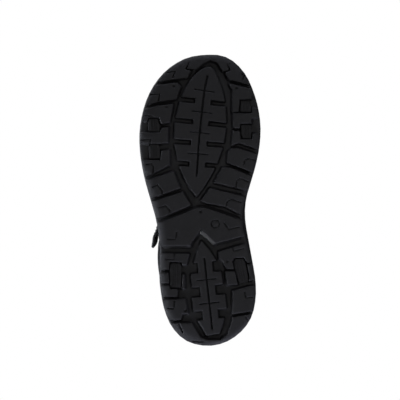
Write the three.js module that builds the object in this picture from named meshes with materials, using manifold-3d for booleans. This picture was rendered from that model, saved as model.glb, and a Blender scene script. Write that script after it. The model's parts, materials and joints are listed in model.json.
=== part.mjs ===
// A right-foot strappy sport sandal: a lugged rubber outsole, a foam midsole with a shank plate in a pocket,
// a rimmed footbed, and an upper of webbing straps that close with plastic rings and hook-and-loop ends.
//
// Millimetres. +X is the lateral (outer) side, +Y the toe, +Z up. The ground is at z = 0 and the origin is
// the middle of the footprint.

import * as THREE from "three";
import { mergeVertices } from "three/addons/utils/BufferGeometryUtils.js";
import Module from "manifold-3d";

const wasm = await Module();
wasm.setup();

// ---------------------------------------------------------------- driving dimensions

const SOLE_LENGTH = 291;
const SOLE_WIDTH = 120.7;
const LUG_HEIGHT = 4;
const OUTSOLE_BASE = 3;
const TOE_SPRING = 13; // how far the toe's tread lifts off the ground
const TOE_SPRING_FROM = 60; // Y where it starts to lift
const HEEL_BEVEL = 5;
const HEEL_BEVEL_FROM = -100;
const MIDSOLE_TOP_HEEL = 31;
const MIDSOLE_TOP_BALL = 24;
const FOOTBED_THICKNESS = 4.5;
const FOOTBED_RIM = 2.5; // how far its rim stands above its bed
const RIM_WIDTH = 6;
const GAP = 0.33; // between pieces that touch
const WEBBING = 1.8; // webbing thickness
const PATCH = 1.2; // hook or loop tape thickness
const BAR_RADIUS = 1.4; // of a ring's bars
const FOLD_RADIUS = BAR_RADIUS + 0.3 + WEBBING / 2; // webbing centre line round a bar
const FOLD_CLEARANCE = 3.5; // length of webbing left free at a fold, so that the end can swing open
const SLOT_CLEARANCE = 0.8;
const TAB_LENGTH = 11;
const TAB_THICKNESS = 2.6;
const QUARTER = 2.4; // side panel thickness

// ---------------------------------------------------------------- geometry helpers

const degrees = (angle) => (angle * Math.PI) / 180;
const clamp01 = (t) => Math.min(1, Math.max(0, t));
const ease = (t) => clamp01(t) ** 2 * (3 - 2 * clamp01(t));
const mix = (a, b, t) => a + (b - a) * t;

function solidOf(geometry) {
  const bare = geometry.index ? geometry.toNonIndexed() : geometry.clone();
  const positions = new THREE.BufferGeometry().setAttribute("position", bare.getAttribute("position"));
  const merged = mergeVertices(positions, 1e-4);
  return new wasm.Manifold(
    new wasm.Mesh({
      numProp: 3,
      vertProperties: merged.attributes.position.array,
      triVerts: new Uint32Array(merged.index.array),
    }),
  );
}

function geometryOf(solid) {
  const { numProp, numVert, vertProperties, triVerts } = solid.getMesh();
  const positions = new Float32Array(numVert * 3);
  for (let i = 0; i < numVert; i++)
    positions.set(vertProperties.subarray(i * numProp, i * numProp + 3), i * 3);
  const geometry = new THREE.BufferGeometry();
  geometry.setAttribute("position", new THREE.BufferAttribute(positions, 3));
  geometry.setIndex(new THREE.BufferAttribute(new Uint32Array(triVerts), 1));
  return geometry;
}

function shapeOf(points) {
  return new THREE.Shape(points.map(([x, y]) => new THREE.Vector2(x, y)));
}

// An outline in X and Y, extruded up Z.
function prism(points, low, high) {
  const geometry = new THREE.ExtrudeGeometry(shapeOf(points), { depth: high - low, bevelEnabled: false });
  return geometry.translate(0, 0, low);
}

// A slice of side view: everything between two heights that depend on Y, as wide as the sole and more.
function sideSlice(low, high) {
  const stations = [-150, -140, -132, -124, -116, -108, HEEL_BEVEL_FROM, -60, -40, -24, -8, 8, 24, 40];
  stations.push(TOE_SPRING_FROM, 70, 80, 90, 100, 110, 120, 130, 140, 150);
  const lower = stations.map((y) => [y, low(y)]);
  const upper = stations.map((y) => [y, high(y)]).reverse();
  const geometry = prism([...lower, ...upper], -SOLE_WIDTH, SOLE_WIDTH);
  const turn = new THREE.Matrix4().makeBasis(
    new THREE.Vector3(0, 1, 0),
    new THREE.Vector3(0, 0, 1),
    new THREE.Vector3(1, 0, 0),
  );
  return solidOf(geometry.applyMatrix4(turn));
}

function cutFromSlice(points, low, high) {
  return solidOf(prism(points, -5, 80)).intersect(sideSlice(low, high));
}

// ---------------------------------------------------------------- sole heights

function groundLine(y) {
  const toe = Math.max(0, y - TOE_SPRING_FROM) / (SOLE_LENGTH / 2 - TOE_SPRING_FROM);
  const heel = Math.max(0, HEEL_BEVEL_FROM - y) / (SOLE_LENGTH / 2 + HEEL_BEVEL_FROM);
  return TOE_SPRING * toe ** 2 + HEEL_BEVEL * heel ** 2;
}

const treadRoot = (y) => groundLine(y) + LUG_HEIGHT;
const outsoleTop = (y) => treadRoot(y) + OUTSOLE_BASE;
const midsoleTop = (y) => {
  const toe = Math.max(0, y - TOE_SPRING_FROM) / (SOLE_LENGTH / 2 - TOE_SPRING_FROM);
  return mix(MIDSOLE_TOP_HEEL, MIDSOLE_TOP_BALL, ease((y + 50) / 90)) + 0.8 * TOE_SPRING * toe ** 2;
};

// ---------------------------------------------------------------- sole outline

// Round the sole from the toe: down the lateral side, round the heel and up the medial side.
const SOLE_POINTS = [
  [-9, 145.2], [12, 142.2], [29.5, 132.4], [41.3, 120.3], [50, 106], [56, 89], [59.4, 68], [58.8, 47],
  [55, 24], [48.4, 0], [43.4, -18], [41.2, -31], [39.7, -46], [39.7, -62], [39.9, -76], [38.9, -88],
  [34.8, -109], [27, -126.5],
  [13, -139.8], [-7, -144.6], [-24.6, -141.2], [-40.6, -130.3], [-50.5, -116], [-54.8, -97], [-54.2, -76],
  [-50.2, -55], [-46.8, -36], [-44.2, -14], [-45.5, 2], [-49.2, 15], [-53.8, 31], [-57.8, 49],
  [-59.6, 70], [-57.6, 90], [-53, 107], [-45, 125], [-33, 138.5], [-22, 144.1],
];

function soleOutline(count) {
  const curve = new THREE.CatmullRomCurve3(SOLE_POINTS.map(([x, y]) => new THREE.Vector3(x, y, 0)), true);
  const points = curve.getSpacedPoints(count).slice(0, count);
  const box = new THREE.Box2().setFromPoints(points);
  const centre = box.getCenter(new THREE.Vector2());
  const size = box.getSize(new THREE.Vector2());
  return points.map((p) => [((p.x - centre.x) * SOLE_WIDTH) / size.x, ((p.y - centre.y) * SOLE_LENGTH) / size.y]);
}

// The outline moved inwards by inset(x, y), along its normals.
function insetOutline(outline, inset) {
  return outline.map(([x, y], i) => {
    const [x0, y0] = outline.at(i - 1);
    const [x1, y1] = outline[(i + 1) % outline.length];
    const length = Math.hypot(x1 - x0, y1 - y0);
    const by = inset(x, y) / length;
    return [x + (y1 - y0) * by, y - (x1 - x0) * by];
  });
}

const outline = soleOutline(84);
const archTuck = (x, y) => (x < 0 ? 3 * Math.exp(-(((y + 24) / 20) ** 2)) : 0);
const outsoleOutline = insetOutline(outline, (x, y) => 0.6 + archTuck(x, y));
const footbedOutline = insetOutline(outline, () => 2.5);

// ---------------------------------------------------------------- tread

// The two long centre lugs. Each is a spine and, along it, stations of [distance, half width], so that the
// lug is the same on both sides of its spine. Narrow stations are the slots of its fishbone.
const FORE_SPINE = [[-10.4, 132.8], [-7, 122], [-4.2, 107.5], [-1.8, 87], [0.4, 66], [2.1, 44], [3.4, 22], [3.5, 2.2]];
const FORE_HEAD = 63; // length of the pointed head, to the widest place
const FORE_TAIL = 69;
const FORE_HALF_WIDTH = 25.5;
const FORE_SLOTS = [36, 57, 77.5, 98.5]; // distances along the spine to the slots' middles
const SLOT_WIDTH = 5.4;
const SLOT_CORE = 7.6; // half width left at a slot

function foreHalfWidth(s) {
  const head = 1 - (1 - s / FORE_HEAD) ** 2;
  const tail = 1 - ((s - FORE_HEAD) / FORE_TAIL) ** 2;
  return FORE_HALF_WIDTH * (s < FORE_HEAD ? head ** 0.66 : Math.max(0, tail));
}

function foreStations() {
  const stations = [0, 1.5, 5, 10, 17, 25].map((s) => [s, foreHalfWidth(s)]);
  for (const middle of FORE_SLOTS) {
    const [from, to] = [middle - SLOT_WIDTH / 2, middle + SLOT_WIDTH / 2];
    stations.push([from, foreHalfWidth(from)], [from, SLOT_CORE], [to, SLOT_CORE], [to, foreHalfWidth(to)]);
  }
  return [...stations, [112, foreHalfWidth(112)], [122, foreHalfWidth(122)], [131, 0]];
}

const HEEL_SPINE = [[-1.4, -40.5], [-4.5, -58.9], [-6.7, -80.3], [-9.1, -100.7], [-12.1, -128.3], [-13.2, -134.5]];
const HEEL_STATIONS = [
  [0, 0], [10, 6], [21, 11.2], [21.4, 7], [32, 7], [32.4, 15], [45, 15.4], [45.4, 7.4], [55.4, 7.4],
  [55.8, 16.4], [69, 16.4], [69.4, 7.4], [78.2, 7.4], [78.6, 13], [94, 6.6],
];

function spineCurve(points) {
  const flat = new THREE.CatmullRomCurve3(points.map(([x, y]) => new THREE.Vector3(x, y, 0)));
  const length = flat.getLength();
  return (distance) => {
    const at = clamp01(distance / length);
    return { point: flat.getPointAt(at), along: flat.getTangentAt(at) };
  };
}

function centreLug(spine, stations) {
  const at = spineCurve(spine);
  const side = (sign) => ([distance, half]) => {
    const { point, along } = at(distance);
    return [point.x + sign * half * -along.y, point.y + sign * half * along.x];
  };
  const back = stations.filter(([, half]) => half > 0).reverse();
  return [...stations.map(side(-1)), ...back.map(side(1))];
}

// The lugs round the edge, each an outline in X and Y. Those that reach past the sole are trimmed to it.
const LUGS = {
  toe_cap: [[13, 131], [5.5, 150], [-23, 150], [-29, 129.5], [-22.5, 128.5], [-17, 137], [-10.4, 139.5],
    [-3.5, 136.5], [4, 130]],
  // lateral, from the toe back
  lateral_1: [[8, 142.5], [15, 130], [9, 128.5], [12.5, 122], [41, 118], [62, 116], [62, 150], [12, 150]],
  lateral_2: [[62, 112], [41, 114.5], [22.5, 117], [19, 112.5], [23.5, 100.5], [40, 98], [62, 93]],
  lateral_3: [[62, 88.5], [42, 93.5], [26.5, 95.5], [27.5, 89.5], [30, 77.5], [38.5, 76], [40.5, 82], [51, 82],
    [53, 78], [62, 79]],
  lateral_block_3: [[50.3, 81], [42.2, 81], [40.2, 75], [40.2, 68], [51.5, 68], [51.5, 76.5]],
  lateral_4: [[62, 67], [39.5, 67], [37.5, 72], [31.5, 72], [32, 57.5], [39, 56], [62, 56.5]],
  lateral_block_4: [[51, 55.3], [41.5, 55.3], [39.8, 51], [39.8, 41.5], [50.5, 40.8], [50.8, 48]],
  lateral_5: [[62, 39.5], [39.5, 39.5], [38, 49], [30.5, 49.5], [30, 35], [47.5, 26], [62, 21]],
  lateral_6: [[62, 16.5], [50, 20.5], [28, 28], [25.5, 27], [19.5, 12], [46.5, 2.5], [62, 0]],
  lateral_7: [[17, 8], [9, -5], [37.5, -17], [60, -22], [60, -4], [43.5, -0.5]],
  // medial, from the toe back
  medial_1: [[-24.5, 142.5], [-30.5, 129], [-25, 126.5], [-28, 120.5], [-50.5, 114], [-64, 111], [-64, 150], [-24, 150]],
  medial_2: [[-28.5, 116], [-49.5, 111], [-64, 108], [-64, 102], [-51.5, 103.5], [-50.5, 100.5], [-39.5, 100],
    [-38.5, 87.5], [-32, 87.5], [-32, 109.5]],
  medial_block_2: [[-40.5, 98.7], [-49.5, 99.2], [-50.8, 92], [-50.3, 87.6], [-40, 87.6]],
  medial_3: [[-32.5, 86], [-51.5, 86], [-52, 91.5], [-64, 89.5], [-64, 81.5], [-51, 81.5], [-51, 76], [-40, 76],
    [-39.5, 71.5], [-33, 71.5]],
  medial_block_3: [[-41, 74.7], [-50.2, 74.7], [-51.3, 68], [-50.5, 61.3], [-42.6, 61.3], [-40.6, 66]],
  medial_4: [[-32.5, 68.5], [-39.3, 68.5], [-40.5, 60], [-52, 60], [-52.5, 66], [-64, 66], [-64, 51], [-57.5, 50.5],
    [-38.5, 57], [-31.5, 54.5]],
  medial_5: [[-31.5, 51], [-37.5, 51.5], [-58.5, 45], [-64, 43], [-64, 23], [-50.5, 28], [-26.5, 37.5], [-27.5, 47.5]],
  medial_6: [[-21.5, 31.5], [-30.5, 32], [-51.5, 23.5], [-64, 19.5], [-64, 4.5], [-47.5, 9.5], [-14, 17.5]],
  medial_7: [[-9.5, 11.5], [-46.5, 3], [-60, 0], [-60, -20], [-41.5, -15], [-25.5, -6.5], [-6.5, -3], [-1, -0.5]],
  // the plate under the arch
  waist: [[60, -24.5], [38.5, -22], [7.5, -10], [-0.5, -7.5], [-7.5, -8.5], [-41.5, -20], [-60, -24], [-60, -32],
    [-42.5, -36], [-15.5, -43], [-1, -29.5], [8.5, -42.5], [9.5, -45.5], [60, -45.5]],
  // heel, lateral
  lateral_8: [[60, -53], [10.5, -53.5], [13.5, -64], [17.5, -64.5], [18, -61.5], [30.5, -61.5], [31, -69], [60, -69]],
  lateral_block_8: [[18.8, -65], [20.5, -62.9], [28, -62.9], [29.8, -65], [30.3, -75], [29.5, -87], [19, -87],
    [18.4, -76]],
  lateral_9: [[60, -72.5], [31.5, -72.5], [30.5, -82.5], [60, -82.5]],
  lateral_10: [[60, -85], [30.8, -85], [29.5, -88.7], [22, -88.7], [22.5, -96], [60, -96]],
  lateral_rib: [[17.2, -74], [15.4, -74], [15.2, -88], [18, -88]],
  lateral_11: [[60, -99], [14.5, -99], [12, -112.5], [17.5, -113.5], [19, -119], [60, -119]],
  // heel, medial
  medial_8: [[-18.5, -51.5], [-43.5, -44], [-64, -39], [-64, -62], [-47, -62], [-43.5, -57], [-34.5, -57.5],
    [-32, -61], [-34, -68.5], [-26.5, -68.5], [-22.5, -61], [-19, -58.5]],
  medial_block_8: [[-33.3, -61.5], [-35.3, -58.8], [-42.8, -58.3], [-44.8, -61.5], [-48, -77.5], [-47.5, -81.5],
    [-38.8, -83.2], [-35.5, -72]],
  medial_9: [[-64, -64], [-47, -64], [-49.5, -77], [-49, -80.5], [-64, -77]],
  medial_rib: [[-25.2, -71], [-34.6, -71], [-37.5, -84], [-26.8, -84.5]],
  medial_10: [[-64, -82.5], [-54.5, -84.5], [-32.5, -90.5], [-32, -113.5], [-50.5, -110.5], [-64, -108.5]],
  // the lug round the back of the heel
  heel_back: [[60, -122.5], [8, -122.5], [-0.5, -136.5], [-7.5, -139.3], [-20.5, -139.3], [-27.5, -133.5],
    [-32, -119.5], [-32.5, -116.5], [-52.5, -113], [-64, -111], [-64, -150], [60, -150]],
};

// Shallow cuts in the lugs' faces, each a line of points that a thin blade follows.
const SIPE_DEPTH = 1.6;
const SIPE_WIDTH = 1.2;
const CENTRE_SIPE_WIDTH = 1.7;
const SIPES = [
  [[36.5, 126.5], [24.5, 128], [27.5, 121.5]], [[50, 104.5], [39.8, 105.2], [42.2, 97]],
  [[62, 82.5], [52, 84], [46, 82.3]], [[59, 59.6], [49, 60.6], [50, 54]],
  [[54, 35], [48, 36.2], [46.3, 32.5], [46.9, 25]], [[47.5, 12.6], [42, 15.2], [38, 9], [37.2, 4.5]],
  [[40.5, -7.3], [34, -5.8], [30.2, -10.4], [31.3, -15.5]], [[-41.5, 125.6], [-44.3, 123.7], [-42.4, 119.8]],
  [[-43.4, 34.6], [-44.3, 39.5], [-47.7, 41], [-55, 39.4]], [[-35.3, 11.7], [-36.7, 19.4], [-39.5, 21.3], [-48, 18]],
  [[-25.4, -6.8], [-27.9, -0.7], [-31, 0.8], [-41, -2.5]], [[23, -31.5], [24, -39], [32, -39]],
  [[-24, -22.5], [-28.5, -29.3], [-39.5, -26.7]], [[25.6, -53], [25.6, -59], [34, -59]],
  [[25.6, -100], [25.6, -107.8], [33, -107.8]], [[-32, -47], [-33.5, -50.7], [-43.8, -48.2]],
  [[-44.3, -91], [-45.5, -97.5], [-52.5, -96.5]], [[21, -123], [17, -132.3]], [[-45, -115.5], [-50, -123]],
  [[8, -141], [-4, -141.2]],
];
const TICK = 10; // how far the cross cuts reach from the spine
const FORE_TICKS = [25, 46.5, 67, 88];
const HEEL_TICKS = [39, 62.5];

// A line with width, as an outline.
function stroke(points, width) {
  const side = (sign) => points.map(([x, y], i) => {
    const [x0, y0] = points[Math.max(0, i - 1)];
    const [x1, y1] = points[Math.min(points.length - 1, i + 1)];
    const length = Math.hypot(x1 - x0, y1 - y0);
    return [x - (sign * (y1 - y0) * width) / 2 / length, y + (sign * (x1 - x0) * width) / 2 / length];
  });
  return [...side(-1), ...side(1).reverse()];
}

function spineSipes(spine, from, to, ticks) {
  const at = spineCurve(spine);
  const steps = 8;
  const groove = [];
  for (let i = 0; i <= steps; i++) {
    const { point } = at(mix(from, to, i / steps));
    groove.push([point.x, point.y]);
  }
  const crossings = ticks.map((distance) => {
    const { point, along } = at(distance);
    const ends = [-TICK, TICK].map((reach) => [point.x - along.y * reach, point.y + along.x * reach]);
    return stroke(ends, SIPE_WIDTH * 0.8);
  });
  return [stroke(groove, CENTRE_SIPE_WIDTH), ...crossings];
}

function tread() {
  const lugs = [centreLug(FORE_SPINE, foreStations()), centreLug(HEEL_SPINE, HEEL_STATIONS), ...Object.values(LUGS)];
  const blocks = lugs.map((points) => solidOf(prism(points, -5, 30)));
  const trimmed = wasm.Manifold.union(blocks).intersect(solidOf(prism(outsoleOutline, -5, 30)));
  const cuts = [
    ...SIPES.map((points) => stroke(points, SIPE_WIDTH)),
    ...spineSipes(FORE_SPINE, 9, 111, FORE_TICKS),
    ...spineSipes(HEEL_SPINE, 17, 89, HEEL_TICKS),
  ].map((points) => solidOf(prism(points, -5, 30)));
  const sipes = wasm.Manifold.union(cuts);
  const uncut = (y) => groundLine(y) + SIPE_DEPTH;
  const face = trimmed.subtract(sipes).intersect(sideSlice(groundLine, (y) => uncut(y) + 0.01));
  return face.add(trimmed.intersect(sideSlice(uncut, (y) => treadRoot(y) + 0.2)));
}

// ---------------------------------------------------------------- sole pieces

function outsole() {
  return cutFromSlice(outsoleOutline, treadRoot, outsoleTop).add(tread());
}

const SHANK = { width: 26, from: -62, to: 34, thickness: 1.5 };

function shankOutline(grow) {
  const half = SHANK.width / 2 + grow;
  const centre = (y) => mix(-4, 2, ease((y + 60) / 90));
  const [from, to] = [SHANK.from - grow, SHANK.to + grow];
  const right = [from, -30, 0, to].map((y) => [centre(y) + half, y]);
  const left = [from, -30, 0, to].map((y) => [centre(y) - half, y]);
  return [...right, ...left.reverse()];
}

function shankPlate() {
  const low = LUG_HEIGHT + OUTSOLE_BASE + GAP;
  return solidOf(prism(shankOutline(0), low, low + SHANK.thickness));
}

function midsole(slots) {
  const low = (y) => outsoleTop(y) + GAP;
  const pocket = prism(shankOutline(GAP), 0, LUG_HEIGHT + OUTSOLE_BASE + 2 * GAP + SHANK.thickness);
  return cutFromSlice(outline, low, midsoleTop).subtract(solidOf(pocket)).subtract(slots);
}

function footbed(slots) {
  const low = (y) => midsoleTop(y) + GAP;
  const bed = (y) => midsoleTop(y) + FOOTBED_THICKNESS;
  const whole = cutFromSlice(footbedOutline, low, (y) => bed(y) + FOOTBED_RIM);
  const basin = insetOutline(footbedOutline, () => RIM_WIDTH);
  return whole.subtract(cutFromSlice(basin, bed, (y) => bed(y) + 20)).subtract(slots);
}

// ---------------------------------------------------------------- straps

// Each strap is drawn in a plane of its own: u runs across the foot and v away from the sole or rearwards.
// The webbing's width stands on that plane. Outward is to the left of the way a strap runs.

const add = ([a, b], [c, d], by = 1) => [a + c * by, b + d * by];

function smoothLine(points, count) {
  const curve = new THREE.SplineCurve(points.map(([x, y]) => new THREE.Vector2(x, y)));
  return curve.getSpacedPoints(count).map((p) => [p.x, p.y]);
}

function lineLength(line) {
  return line.slice(1).reduce((sum, [x, y], i) => sum + Math.hypot(x - line[i][0], y - line[i][1]), 0);
}

// The stretch of a line between two distances from its end, each point moved outwards by offset(distance).
function stretch(line, far, near, offset, steps) {
  const curve = new THREE.CurvePath();
  for (let i = 1; i < line.length; i++)
    curve.add(new THREE.LineCurve(new THREE.Vector2(...line[i - 1]), new THREE.Vector2(...line[i])));
  const total = lineLength(line);
  const smooth = new THREE.SplineCurve(line.map(([x, y]) => new THREE.Vector2(x, y)));
  return Array.from({ length: steps + 1 }, (_, i) => {
    const distance = mix(far, near, i / steps);
    const at = clamp01(1 - distance / total);
    const point = smooth.getPointAt(at);
    const along = smooth.getTangentAt(at);
    const by = offset(distance);
    return [point.x - along.y * by, point.y + along.x * by];
  });
}

// A line given thickness in its plane and width across it.
function band(line, thickness, width) {
  const normals = line.map((_, i) => {
    const [x0, y0] = line[Math.max(0, i - 1)];
    const [x1, y1] = line[Math.min(line.length - 1, i + 1)];
    const length = Math.hypot(x1 - x0, y1 - y0);
    return [-(y1 - y0) / length, (x1 - x0) / length];
  });
  const outer = line.map((point, i) => add(point, normals[i], thickness / 2));
  const inner = line.map((point, i) => add(point, normals[i], -thickness / 2));
  return prism([...inner, ...outer.reverse()], -width / 2, width / 2);
}

function halfTurn(centre, first, across) {
  const steps = 8;
  return Array.from({ length: steps + 1 }, (_, i) => {
    const angle = (Math.PI * i) / steps;
    const radial = add([0, 0], first, Math.cos(angle) * FOLD_RADIUS);
    return add(add(centre, radial), across, Math.sin(angle) * FOLD_RADIUS);
  });
}

// A two-bar ring. Its bars stand across the plane at strapBar and keeperBar.
function ring(strapBar, keeperBar, width) {
  const [du, dv] = add(keeperBar, strapBar, -1);
  const reach = Math.hypot(du, dv);
  const half = width / 2;
  const bar = (at) => {
    const rod = new THREE.CylinderGeometry(BAR_RADIUS, BAR_RADIUS, width + 5, 14);
    return solidOf(rod.rotateX(Math.PI / 2).translate(at[0], at[1], 0));
  };
  const rail = (sign) => {
    const bars = new THREE.BoxGeometry(reach + 2 * BAR_RADIUS + 0.8, 2 * BAR_RADIUS + 0.3, 2.8);
    bars.rotateZ(Math.atan2(dv, du));
    const middle = add(strapBar, [du, dv], 0.5);
    return solidOf(bars.translate(middle[0], middle[1], sign * (half + 0.6 + 1.4)));
  };
  return bar(strapBar).add(bar(keeperBar)).add(rail(1)).add(rail(-1));
}

// A strap that runs from its sewn end to a ring, folds round the ring's bar and comes back over itself,
// with everything that belongs to it. Returns its pieces as geometries in the strap's plane.
function closure({ run, strapBar, keeperRun, keeperBar, width, flapLength, flare, pad }) {
  const toKeeper = add(keeperBar, strapBar, -1);
  const reach = Math.hypot(...toKeeper);
  const down = toKeeper.map((x) => x / reach);
  const out = [-down[1], down[0]];
  const inside = add(strapBar, out, -FOLD_RADIUS);
  const line = smoothLine([...run, add(inside, down, -7), inside], 26);
  const fold = halfTurn(strapBar, out.map((x) => -x), down);
  const flapEnd = FOLD_CLEARANCE + flapLength;
  const tapeFrom = flapEnd - 3;
  const tapeTo = FOLD_CLEARANCE + 6;
  const flapOffset = (distance) => 2 * FOLD_RADIUS + flare * ease((distance - tapeFrom) / TAB_LENGTH);
  const flap = stretch(line, flapEnd, FOLD_CLEARANCE, flapOffset, 9);
  const tab = stretch(line, flapEnd + GAP + TAB_LENGTH, flapEnd + GAP, flapOffset, 3);
  const loopOffset = WEBBING / 2 + GAP + PATCH / 2;
  const hookOffset = (distance) => flapOffset(distance) - loopOffset;

  const keeperTop = add(keeperBar, out, -FOLD_RADIUS);
  const rise = smoothLine([...keeperRun, keeperTop], 8);
  const over = halfTurn(keeperBar, out.map((x) => -x), down.map((x) => -x));
  const doubled = 7.5; // length of the keeper's second layer
  const layer = (distance) => -mix(2 * FOLD_RADIUS, WEBBING + GAP, ease(distance / doubled));
  const behind = stretch(rise, doubled, 1, layer, 4).reverse();

  return {
    strap: band([...line.slice(0, -1), ...fold], WEBBING, width),
    flap: band(flap, WEBBING, width),
    tab: band(tab, TAB_THICKNESS, width - 2),
    loop_tape: band(stretch(line, tapeFrom, tapeTo, () => loopOffset, 7), PATCH, width - 2),
    hook_tape: band(stretch(line, tapeFrom, tapeTo, hookOffset, 7), PATCH, width - 2),
    keeper: band([...rise.slice(0, -1), ...over, ...behind], WEBBING, width),
    keeperTail: band(rise, WEBBING + SLOT_CLEARANCE, width + SLOT_CLEARANCE),
    strapTail: band(line, WEBBING + SLOT_CLEARANCE, width + SLOT_CLEARANCE),
    ring: geometryOf(ring(strapBar, keeperBar, width)),
    pad: band(
      stretch(line, pad.far, pad.near, () => -(WEBBING / 2 + 2 * GAP + pad.thickness / 2), pad.steps),
      pad.thickness,
      pad.width,
    ),
  };
}

const TOE = closure({
  run: [[-48, -5.5], [-48.5, 3], [-47, 15], [-40.5, 29], [-27, 40], [-9, 45.5], [9, 44.5], [24, 40]],
  strapBar: [40.7, 29.5],
  keeperBar: [46.8, 20],
  keeperRun: [[49.5, -5.5], [49.3, 1], [48.2, 9]],
  width: 25,
  flapLength: 32,
  flare: 0,
  pad: { near: 22, far: 96, thickness: 3, width: 30, steps: 14 },
});

const INSTEP = closure({
  run: [[-39.2, -3], [-38.9, 5], [-37, 14], [-29.5, 25], [-17, 32.5], [-4, 35.5], [9, 34]],
  strapBar: [32.4, 21.5],
  keeperBar: [36.8, 11],
  keeperRun: [[35.5, 0], [35.1, 5]],
  width: 25,
  flapLength: 30,
  flare: 0,
  pad: { near: 12, far: 72, thickness: 3.5, width: 31, steps: 14 },
});

const HEEL = closure({
  run: [[-41, -12], [-41.2, 8], [-40.2, 40], [-37.5, 70], [-30, 94], [-18, 107], [-5, 111], [9, 108], [23, 98],
    [34.3, 83], [39.9, 67], [42, 50], [41.9, 37], [39.3, 27]],
  strapBar: [39.8, 7],
  keeperBar: [40.6, -4.2],
  keeperRun: [[38.5, -18.2], [38.4, -11.2]],
  width: 22,
  flapLength: 16.5,
  flare: -1.4,
  pad: { near: 64, far: 170, thickness: 5, width: 30, steps: 20 },
});

// Where each strap's plane stands: a point of the sandal, the turn about Z and the turn about X.
function plane(position, yaw, pitch) {
  const tilted = new THREE.Group();
  tilted.rotation.x = degrees(pitch);
  const group = new THREE.Group();
  group.position.set(...position);
  group.rotation.z = degrees(yaw);
  group.add(tilted);
  group.updateMatrixWorld(true);
  return { group, tilted };
}

const toePlane = plane([0, 58, 24], -10, 90 - 16);
const instepPlane = plane([0, -12, 70], 0, 90 - 40);
const heelPlane = plane([0, -12, 53], 0, 180 - 16);

// ---------------------------------------------------------------- side panels

// A quarter is a panel with two legs that go down into the sole, drawn in side view as [Y, Z].
const QUARTER_SHAPE = [
  [28, 15], [25, 36], [12, 56], [4, 66], [-2, 72], [-22, 84], [-32, 70], [-38, 60], [-52, 46], [-70, 36], [-76, 15],
  [-56, 15], [-52, 36], [-38, 47], [-25, 55], [-14, 55], [-4, 46], [3, 36], [6, 15],
];

function quarterGeometry(grow) {
  const thick = QUARTER + 2 * grow;
  const shape = insetOutline(QUARTER_SHAPE, () => 1.5 * grow);
  const geometry = prism(shape, -thick / 2, thick / 2);
  const turn = new THREE.Matrix4().makeBasis(
    new THREE.Vector3(0, 1, 0),
    new THREE.Vector3(0, 0, 1),
    new THREE.Vector3(1, 0, 0),
  );
  return geometry.applyMatrix4(turn);
}

// A quarter stands at x at the sole's top, leans in by lean and turns by yaw.
function quarterPlane(x, yaw, lean) {
  const group = new THREE.Group();
  group.position.set(x, 0, 30);
  group.rotation.set(0, degrees(lean), degrees(yaw), "ZYX");
  const lowered = new THREE.Group();
  lowered.position.z = -30;
  group.add(lowered);
  group.updateMatrixWorld(true);
  return { group, tilted: lowered };
}

const lateralQuarter = quarterPlane(36.9, -3, -7);
const medialQuarter = quarterPlane(-39.3, 0, 6);

// ---------------------------------------------------------------- assembly

function placed(geometry, { tilted }) {
  return solidOf(geometry.clone().applyMatrix4(tilted.matrixWorld));
}

function soleSlots() {
  const deepEnough = solidOf(prism(outline, 14.5, 60));
  return wasm.Manifold.union([
    placed(TOE.strapTail, toePlane),
    placed(TOE.keeperTail, toePlane),
    placed(quarterGeometry(SLOT_CLEARANCE / 2), lateralQuarter),
    placed(quarterGeometry(SLOT_CLEARANCE / 2), medialQuarter),
  ]).intersect(deepEnough);
}

const COLOURS = {
  rubber: { color: 0x1c1c1e, roughness: 0.62, metalness: 0 },
  foam: { color: 0x202023, roughness: 0.85, metalness: 0 },
  nylon: { color: 0x2c2c2e, roughness: 0.5, metalness: 0 },
  webbing: { color: 0x18181b, roughness: 0.9, metalness: 0 },
  panel: { color: 0x1d1d20, roughness: 0.75, metalness: 0 },
  lining: { color: 0x26262a, roughness: 0.95, metalness: 0 },
  tape: { color: 0x161618, roughness: 1, metalness: 0 },
  plastic: { color: 0x141416, roughness: 0.4, metalness: 0 },
};

function piece(name, geometry, look, parent) {
  const mesh = new THREE.Mesh(geometry, new THREE.MeshStandardMaterial(COLOURS[look]));
  mesh.name = name;
  parent.add(mesh);
}

const sandal = new THREE.Group();
for (const { group } of [toePlane, instepPlane, heelPlane, lateralQuarter, medialQuarter]) sandal.add(group);

const slots = soleSlots();
piece("outsole", geometryOf(outsole()), "rubber", sandal);
piece("midsole", geometryOf(midsole(slots)), "foam", sandal);
piece("shank_plate", geometryOf(shankPlate()), "nylon", sandal);
piece("footbed", geometryOf(footbed(slots)), "foam", sandal);
piece("lateral_quarter", quarterGeometry(0), "panel", lateralQuarter.tilted);
piece("medial_quarter", quarterGeometry(0), "panel", medialQuarter.tilted);

for (const [name, made, { tilted }] of [
  ["toe", TOE, toePlane],
  ["instep", INSTEP, instepPlane],
  ["heel", HEEL, heelPlane],
]) {
  piece(`${name}_strap`, made.strap, "webbing", tilted);
  piece(`${name}_strap_end`, made.flap, "webbing", tilted);
  piece(`${name}_pull_tab`, made.tab, "plastic", tilted);
  piece(`${name}_loop_tape`, made.loop_tape, "tape", tilted);
  piece(`${name}_hook_tape`, made.hook_tape, "tape", tilted);
  piece(`${name}_ring_keeper`, made.keeper, "webbing", tilted);
  piece(`${name}_ring`, made.ring, "plastic", tilted);
  piece(`${name}_pad`, made.pad, "lining", tilted);
}

export default sandal;
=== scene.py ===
"""A right-foot strappy sport sandal, seen from straight below. Metres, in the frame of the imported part."""

import json
import math

import bmesh
import bpy
from mathutils import Matrix, Vector, noise
from mathutils.geometry import delaunay_2d_cdt


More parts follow.
